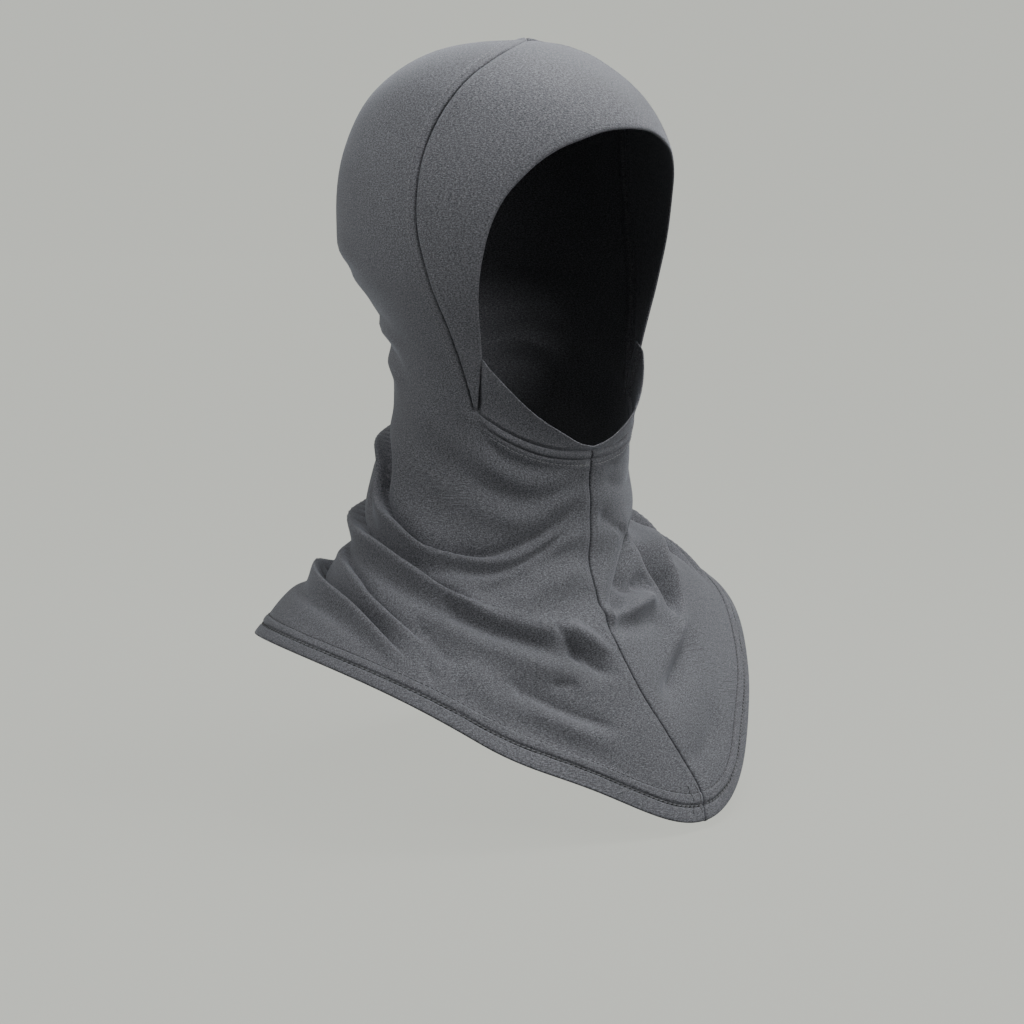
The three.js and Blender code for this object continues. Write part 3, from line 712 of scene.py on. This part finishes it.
def side_panel(side):
    """Grid of a side panel: angles, rows and a mask."""
    fine = np.array([0, 0.09, 0.2, 0.36, 0.6, 0.95, 1.5])
    front = np.concatenate([fine, np.linspace(2.2, TIP_ANGLE, FRONT_COLUMNS)])[:-1]
    spread_shares = np.linspace(0, 1, HOOD_COLUMNS)[1:] ** 1.3
    crown = [0.02, 0.06, 0.1, 0.15]
    places = np.concatenate([np.linspace(0, 13.6, 50), np.linspace(13.7, 14, 4)])[:-1]
    seam_angle = np.concatenate([np.zeros(len(crown)), along(BAND[:, 0], places)])[:, None]
    seam_row = np.concatenate([crown, along(BAND[:, 1], places)])[:, None]
    reach = np.linalg.norm(plain(seam_angle, seam_row)[..., :2], axis=-1)
    fine_degrees = np.degrees(EDGE_STEPS / np.maximum(reach, 12))
    base = fine_degrees[:, -1:] + seam_angle
    hood_angles = np.concatenate(
        [seam_angle + fine_degrees, base + (180 - base) * spread_shares], 1)
    hood_rows = np.repeat(seam_row, hood_angles.shape[1], 1)
    tip = TIP_ANGLE + fine_degrees[-1]
    beyond = tip[-1] + (180 - TIP_ANGLE - fine_degrees[-1, -1]) * spread_shares
    angles = np.concatenate([front, tip, beyond])
    lip_mm = np.concatenate([np.linspace(0, 5.6, 13), np.linspace(6.3, 10, 6)])
    hem_mm = np.concatenate([np.linspace(15.6, 6.4, 24), np.linspace(5.6, 0.8, 7), [0.4, 0]])
    lip = COLLAR + rows_for(angles, COLLAR, 1.0)[None] * lip_mm[:, None]
    hem_end = hem_row(angles)
    hem = hem_end[None] - rows_for(angles, HEM - 1, 1.0)[None] * hem_mm[:, None]
    evenly = np.linspace(0, 1, CROWD_STEPS)
    crowding = 1 + 0.9 * smooth(0.24, 0.34, evenly)
    crowding -= 0.8 * smooth(0.82, 0.94, evenly)
    crowding = np.cumsum(crowding) / crowding.sum()
    shares = np.interp(np.linspace(0, 1, BIB_LINES)[1:-1], crowding, evenly)
    middle = lip[-1] + (hem[0] - lip[-1]) * shares[:, None]
    bib_rows = np.concatenate([lip, middle, hem])
    bib_angles = np.repeat(angles[None], len(bib_rows), 0)
    empty = np.zeros((len(hood_angles), len(front)))
    all_angles = np.concatenate([np.concatenate([empty, hood_angles], 1), bib_angles])
    all_rows = np.concatenate([np.concatenate([empty + 1, hood_rows], 1), bib_rows])
    mask = np.ones(all_angles.shape, bool)
    mask[: len(hood_angles), : len(front)] = False
    return side * all_angles, all_rows, mask


def seam_distance(points, line):
    share, offset, aside, _ = beside(points, line)
    away = np.sqrt(offset**2 + aside**2)
    return away, share * lengths_along(line[0])[-1]


def seam_line(angles, rows, steps=260):
    shares = np.linspace(0, len(angles) - 1, steps)
    angle, row = along(angles, shares), along(rows, shares)
    spots = plain(angle, row)
    forward = unit(np.gradient(spots, axis=0))
    return spots, forward, unit(np.cross(forward, tangents(angle, row)[2]))


def above_hem(angle, row):
    """Distance of points up from the hem's edge."""
    return (hem_row(angle) - row) / rows_for(angle, HEM - 1, 1.0)


def seam_lines(side):
    """The lines of a side panel's seams, with the strength of their ridges and the
    lowest row that each reaches."""
    front_rows = np.linspace(COLLAR, HEM, 60)
    back_rows = np.linspace(0.1, HEM, 90)
    yield seam_line(side * BAND[:, 0], BAND[:, 1]), 1, 7.25
    yield seam_line(np.zeros(60), front_rows), 0.7, HEM
    yield seam_line(np.full(90, side * 180.0), back_rows), 0.9, HEM


def clothed(side, angle, row):
    """Points of a side panel's outside with its folds, seams and hem."""
    points = drape(angle, row)
    bare = plain(angle, row).reshape(-1, 3)
    out = tangents(angle.ravel(), row.ravel())[2]
    relief = np.zeros(len(bare))
    for line, share, lowest in seam_lines(side):
        distance, length = seam_distance(bare, line)
        relief += seam_relief(distance, length) * share * (row.ravel() < lowest + 0.01)
    below = (row - COLLAR) / rows_for(angle, COLLAR, 1.0)
    front = (np.abs(angle) < TIP_ANGLE) & (row >= COLLAR - 1e-6)
    relief += np.where(front, collar_relief(below, angle), 0).ravel()
    hem_angles = np.linspace(0, 180, 200) * side
    hem = seam_line(hem_angles, hem_row(hem_angles), 320)
    above = above_hem(angle, row)
    _, length = seam_distance(bare, hem)
    relief += np.where(above < 20, hem_relief(above, length.reshape(above.shape)), 0).ravel()
    return points + (out * relief[:, None]).reshape(points.shape)


def dress_side(name, side):
    angle, row, mask = side_panel(side)
    points = clothed(side, angle, row)
    ends = (np.abs(angle) < 1e-6) | (np.abs(angle) > 180 - 1e-6)
    points[..., 0] += np.where(ends & mask, side * SEAM_HALF_GAP, 0)
    wall = np.where(above_hem(angle, row) < 15, HEM_LAYER, LAYER)
    return cloth_object(name, points, mask, wall, side < 0, PANEL_JERSEY)


def flat_between(start, end, share):
    """Places between two sets of (angle, row), straight on a flat map of the crown."""
    first, last = (
        np.stack([row * np.sin(np.radians(angle)), row * np.cos(np.radians(angle))], -1)
        for angle, row in (start, end))
    spot = first[:, None] + (last - first)[:, None] * share[None, :, None]
    return np.degrees(np.arctan2(spot[..., 0], spot[..., 1])), np.hypot(spot[..., 0], spot[..., 1])


def dress_band(name):
    places = np.concatenate([np.linspace(0, 13.4, 130), np.linspace(13.5, 13.9, 6)])
    fine = np.array([0, 0.0014, 0.003, 0.0055, 0.01, 0.017, 0.028, 0.045])
    share = np.concatenate([fine, np.linspace(0.07, 0.975, 46), [0.988, 1.0]])
    seam = along(BAND[:, 0], places), along(BAND[:, 1], places)
    edge = along(BAND[:, 2], places), along(BAND[:, 3], places)
    angle, row = flat_between(seam, edge, share)
    angle = np.concatenate([-angle[:0:-1], angle])
    row = np.concatenate([row[:0:-1], row])
    points = plain(angle, row)
    out = tangents(angle, row)[2]
    width = np.linalg.norm(points[:, 0] - points[:, -1], axis=-1)
    from_seam = width[:, None] * share[None]
    from_edge = width[:, None] * (1 - share[None])
    length = lengths_along(points[:, 0])
    relief = seam_relief(from_seam, length[:, None]) - 0.35 * groove(from_edge, 0, 1.2)
    relief = relief + 0.2 * ripples(np.radians(angle) * 3, row * 3, 12)
    points = points + out * relief[..., None]
    mask = np.ones(angle.shape, bool)
    wall = np.full(angle.shape, BAND_LAYER) * np.clip(width[:, None] / 12, 0.55, 1)
    return cloth_object(name, points, mask, wall, True, BAND_JERSEY)


def dress_chin(name):
    columns, lines = 120, 56
    share = np.linspace(0, 1, lines)
    end_row = JAW[-1, 1] + (COLLAR - JAW[-1, 1]) * share
    end_angle = look_up(BAND[:, 3], BAND[:, 2], end_row) + 2.2
    angle = end_angle[:, None] * np.linspace(-1, 1, columns)[None]
    jaw = look_up(JAW[:, 0], JAW[:, 1], np.abs(angle))
    bottom = COLLAR + rows_for(angle, COLLAR, 1.6)
    row = jaw + (bottom - jaw) * share[:, None]
    points = plain(angle, row)
    out = tangents(angle, row)[2]
    from_side = (end_angle[:, None] - np.abs(angle)) * 1.1
    from_bottom = (COLLAR - row) / rows_for(angle, COLLAR, 1.0)
    sunk = -1.9 * (1 - smooth(2.5, 6.5, from_side))
    sunk = np.minimum(sunk, -1.5 * (1 - smooth(-0.5, 2.5, from_bottom)))
    relief = sunk + 0.25 * ripples(np.radians(angle) * 3, row * 6, 21)
    points = points + out * relief[..., None]
    mask = np.ones(angle.shape, bool)
    return cloth_object(name, points, mask, np.full(angle.shape, LAYER), False, PANEL_JERSEY)


# Stitching. Each line of stitches: thread radius, pitch, length and slant in degrees.
HEAVY_STITCH = (0.44, STITCH_PITCH, 2.5, 24)
THIN_STITCH = (0.22, STITCH_PITCH, 2.1, 0)
COLLAR_DASH = (0.17, 2.7, 1.9, 0)
BAND_DASH = (0.13, 2.9, 1.8, 0)
BARTACK = (0.15, 0.8, 2.6, 66)
# Near-black capsules laid in the slots between the heavy hem stitches: painted shade where the
# slots are only in shadow.
SLOT_SHADE = (0.5, STITCH_PITCH, 2.4, 34)
STITCH_RINGS = [(-1, 0.3), (-0.75, 0.85), (-0.3, 1), (0.3, 1), (0.75, 0.85), (1, 0.3)]
STITCH_SIDES = 6
BAND_STITCH_AWAY = 5.2
STITCH_RISE = 0.3
BAND_RISE = 0.08


def seam_path(side, angle, row, lift=0.0):
    """Points, directions and normals of a line on a dressed side panel."""
    spots = clothed(side, angle, row)
    nudge = 0.25 * rows_for(angle, np.minimum(row, HEM - 0.2), 1.0)
    low = clothed(side, angle, row + nudge) - clothed(side, angle, row - nudge)
    forward = unit(np.gradient(spots, axis=0))
    out = unit(np.cross(forward, low))
    out *= np.where((out * tangents(angle, row)[2]).sum(-1) < 0, -1, 1)[:, None]
    return spots + out * lift, forward, out


def stitch_row(path, kind, shift=0.0):
    """Meshes of the stitches along a path: round bits of thread whose ends dip into the
    cloth."""
    radius, pitch, length, slant = kind
    spots, forward, out = path
    steps = lengths_along(spots)
    centres = np.arange(pitch * (0.5 + shift), steps[-1] - pitch / 2, pitch)
    place, ahead, up = (
        np.stack([np.interp(centres, steps, row[:, k]) for k in range(3)], -1)
        for row in (spots, forward, out))
    ahead, up = unit(ahead), unit(up)
    aside = unit(np.cross(up, ahead))
    turn = math.radians(slant)
    way = ahead * math.cos(turn) + aside * math.sin(turn)
    across = np.cross(up, way)
    rings = []
    for along_it, fat in STITCH_RINGS:
        middle = place + way * (length / 2 * along_it) + up * (radius * (0.55 - 1.5 * along_it**2))
        for k in range(STITCH_SIDES):
            spin = 2 * math.pi * k / STITCH_SIDES
            rings.append(middle + (up * math.sin(spin) + across * math.cos(spin)) * radius * fat)
    points = np.stack(rings, 1)
    faces = []
    for ring in range(len(STITCH_RINGS) - 1):
        for k in range(STITCH_SIDES):
            start = ring * STITCH_SIDES + k
            after = ring * STITCH_SIDES + (k + 1) % STITCH_SIDES
            faces.append([start, after, after + STITCH_SIDES, start + STITCH_SIDES])
    faces = np.array(faces)
    count = points.shape[1]
    starts = np.arange(len(points))[:, None, None] * count
    return points.reshape(-1, 3), (faces[None] + starts).reshape(-1, 4)


def thread_object(name, rows, material):
    """One object of several rows of stitches."""
    points = np.concatenate([row[0] for row in rows])
    starts = np.cumsum([0] + [len(row[0]) for row in rows[:-1]])
    faces = np.concatenate([row[1] + start for row, start in zip(rows, starts)])
    obj = make_object(name, points, faces)
    obj.data.materials.append(material)
    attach(obj, "root")
    return obj


def hem_path(side, above):
    angle = side * np.linspace(0.6, 179.4, 420)
    return seam_path(side, angle, hem_row(angle) - rows_for(angle, HEM - 1, above), STITCH_RISE)


def sew_hem(name, side):
    rows = [stitch_row(hem_path(side, HEM_LINES[0]), HEAVY_STITCH)]
    return thread_object(name, rows, THREAD)


def add_slot_shade_and_thin_row(name, side):
    """Painted shade: near-black capsules laid in the slots between the heavy stitches of the hem,
    where there is only shadow; and the thin row of stitches above them.
    """
    rows = [stitch_row(hem_path(side, HEM_LINES[0]), SLOT_SHADE, 0.5),
            stitch_row(hem_path(side, HEM_LINES[1]), THIN_STITCH)]
    return thread_object(name, rows, DARK_THREAD_AND_SLOT_SHADE)


def sew_collar(name, side):
    angle = side * np.linspace(1.5, TIP_ANGLE - 5, 160)
    path = seam_path(side, angle, COLLAR + rows_for(angle, COLLAR, COLLAR_STITCH), STITCH_RISE)
    return thread_object(name, [stitch_row(path, COLLAR_DASH)], PALE_THREAD)


def sew_bartack(name):
    """The short bar of close stitches where the collar meets the centre seam."""
    angle = np.linspace(-2.6, -8.6, 40)
    path = seam_path(-1, angle, COLLAR + rows_for(angle, COLLAR, COLLAR_STITCH), STITCH_RISE)
    return thread_object(name, [stitch_row(path, BARTACK)], PALE_THREAD)


def sew_point(name):
    """The stitches that run down the hem beside the centre seam."""
    rows = []
    for turn in (-1.1, -3.4):
        angle = np.full(60, turn)
        above = np.linspace(19, 3, 60)
        path = seam_path(-1, angle, hem_row(angle) - rows_for(angle, HEM - 1, above), STITCH_RISE)
        rows.append(stitch_row(path, THIN_STITCH))
    return thread_object(name, rows, DARK_THREAD_AND_SLOT_SHADE)


def sew_band(name, side):
    """The faint topstitch a little behind the seam of the band."""
    forward = seam_line(side * BAND[:, 0], BAND[:, 1], 300)[1]
    places = np.linspace(0.25, 13.2, 300)
    angle, row = side * along(BAND[:, 0], places), along(BAND[:, 1], places)
    reach = np.maximum(np.linalg.norm(plain(angle, row)[:, :2], axis=1), 20)
    steep = np.abs(forward[:, 2]) + 0.35
    angle = angle + side * np.degrees(BAND_STITCH_AWAY / reach) / np.minimum(steep, 1)
    path = seam_path(side, angle, row, BAND_RISE)
    return thread_object(name, [stitch_row(path, BAND_DASH)], PALE_THREAD)


panel_right = dress_side("side_panel_right_cloth", -1)
panel_left = dress_side("side_panel_left_cloth", 1)
band = dress_band("brow_band_cloth")
chin = dress_chin("chin_panel_cloth")

for piece, solid in ((panel_right, "side_panel_right"), (panel_left, "side_panel_left"),
                     (band, "brow_band"), (chin, "chin_panel")):
    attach(piece, "root")
    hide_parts(solid)

THREAD = thread_material("thread", (0.1, 0.105, 0.115, 1), 0.6)
# Near-black material: painted shade on the slot capsules of the hem, and dark thread on the thin
# hem row and the point stitches.
DARK_THREAD_AND_SLOT_SHADE = thread_material("dark_thread_and_slot_shade", (0.02, 0.021, 0.024, 1), 0.7)
PALE_THREAD = thread_material("pale_thread", (0.2, 0.205, 0.215, 1), 0.55)
sewing = {}
for side, hand in ((-1, "right"), (1, "left")):
    # The second hem object holds the near-black painted shade in the slots and the thin hem row.
    sewing[side] = [sew_hem("hem_stitching_" + hand, side), add_slot_shade_and_thin_row("hem_slot_shade_and_thin_stitching_" + hand, side),
                    sew_collar("collar_stitching_" + hand, side),
                    sew_band("band_stitching_" + hand, side)]
sewing[-1] += [sew_bartack("bartack"), sew_point("point_stitching")]

# Studio

PHOTO_SIZE = 1024
PHOTO_FOCAL = 2000
SENSOR = 36
CAMERA_TURN = -44
CAMERA_RISE = 10
CAMERA_AWAY = 1.15
CAMERA_TARGET = (0, 0.004, -0.2628)
HEAD = (0, 0, -0.12)
BACKDROP_BEND = 3.0
BACKDROP_FAR = 9.0
BACKDROP_HIGH = 12
BACKDROP_SIDES = 96
BEND_STEPS = 24
FLOOR_GAP = 0.004
SKY_COLOR = (0.9, 0.93, 1, 1)
SKY_STRENGTH = 0.09
# Lamps: name, turn and rise in degrees, distance and size in metres, power in watts
# and the spot that each points at
LAMPS = [
    ("top", 62, 62, 0.68, 0.4, 5.4, HEAD),
    ("crown", 10, 80, 0.68, 0.4, 3.2, HEAD),
    ("back_left", -140, 15, 2.2, 0.8, 3, CAMERA_TARGET),
    ("left", -90, 26, 0.46, 0.3, 1.1, HEAD),
    ("right", 68, 22, 2.2, 0.8, 1, CAMERA_TARGET),
    ("low", 0, -8, 2.2, 0.8, 9, CAMERA_TARGET),
    ("front", 14, 26, 2.2, 0.8, 22, CAMERA_TARGET),
]


def toward(turn, rise, away, target):
    """A place at a distance from a target, in a direction of turn and rise."""
    turn, rise = math.radians(turn), math.radians(rise)
    way = (math.sin(turn) * math.cos(rise), -math.cos(turn) * math.cos(rise), math.sin(rise))
    return [middle + away * part for middle, part in zip(target, way)]


def aim(obj, target):
    obj.rotation_euler = (Vector(target) - obj.location).to_track_quat("-Z", "Y").to_euler()


def soft_light(name, turn, rise, away, size, power, target):
    """A round soft box at a distance from the target."""
    lamp = bpy.data.lights.new(name, "AREA")
    lamp.shape = "DISK"
    lamp.size = size
    lamp.energy = power
    obj = bpy.data.objects.new(name, lamp)
    obj.location = toward(turn, rise, away, target)
    aim(obj, target)
    bpy.context.scene.collection.objects.link(obj)


def backdrop():
    """A pale floor that curves up into a wall all round the object."""
    bend, far, low = BACKDROP_BEND, BACKDROP_FAR, CAD_BOX[0][2] - FLOOR_GAP
    profile = [(1e-6, low), (far - bend, low)]
    for k in range(1, BEND_STEPS + 1):
        turn = k / BEND_STEPS * math.pi / 2
        profile.append((far - bend + bend * math.sin(turn), low + bend - bend * math.cos(turn)))
    profile.append((far, low + BACKDROP_HIGH))
    turns = np.linspace(0, 2 * math.pi, BACKDROP_SIDES, endpoint=False)
    points = [(away * math.cos(turn), away * math.sin(turn), height)
              for away, height in profile for turn in turns]
    faces = []
    for ring in range(len(profile) - 1):
        for k in range(BACKDROP_SIDES):
            here = ring * BACKDROP_SIDES + k
            ahead = ring * BACKDROP_SIDES + (k + 1) % BACKDROP_SIDES
            faces.append([here, here + BACKDROP_SIDES, ahead + BACKDROP_SIDES, ahead])
    floor = make_object("backdrop", np.array(points) / MM, np.array(faces))
    material, _, _ = new_material(
        "backdrop", Base_Color=(0.05, 0.05, 0.047, 1), Roughness=0.95, Specular_IOR_Level=0.05,
        Emission_Color=(0.655, 0.67, 0.612, 1), Emission_Strength=1)
    floor.data.materials.append(material)
    floor.visible_diffuse = False


backdrop()
for lamp_sizes in LAMPS:
    soft_light(*lamp_sizes)

world = bpy.data.worlds.new("studio")
bpy.context.scene.world = world
world.use_nodes = True
sky = world.node_tree.nodes["Background"]
sky.inputs["Color"].default_value = SKY_COLOR
sky.inputs["Strength"].default_value = SKY_STRENGTH

lens = bpy.data.cameras.new("camera")
lens.sensor_width = SENSOR
lens.sensor_height = SENSOR
lens.sensor_fit = "HORIZONTAL"
lens.lens = SENSOR * PHOTO_FOCAL / PHOTO_SIZE
camera = bpy.data.objects.new("camera", lens)
camera.location = toward(CAMERA_TURN, CAMERA_RISE, CAMERA_AWAY, CAMERA_TARGET)
aim(camera, CAMERA_TARGET)
bpy.context.scene.collection.objects.link(camera)
bpy.context.scene.camera = camera
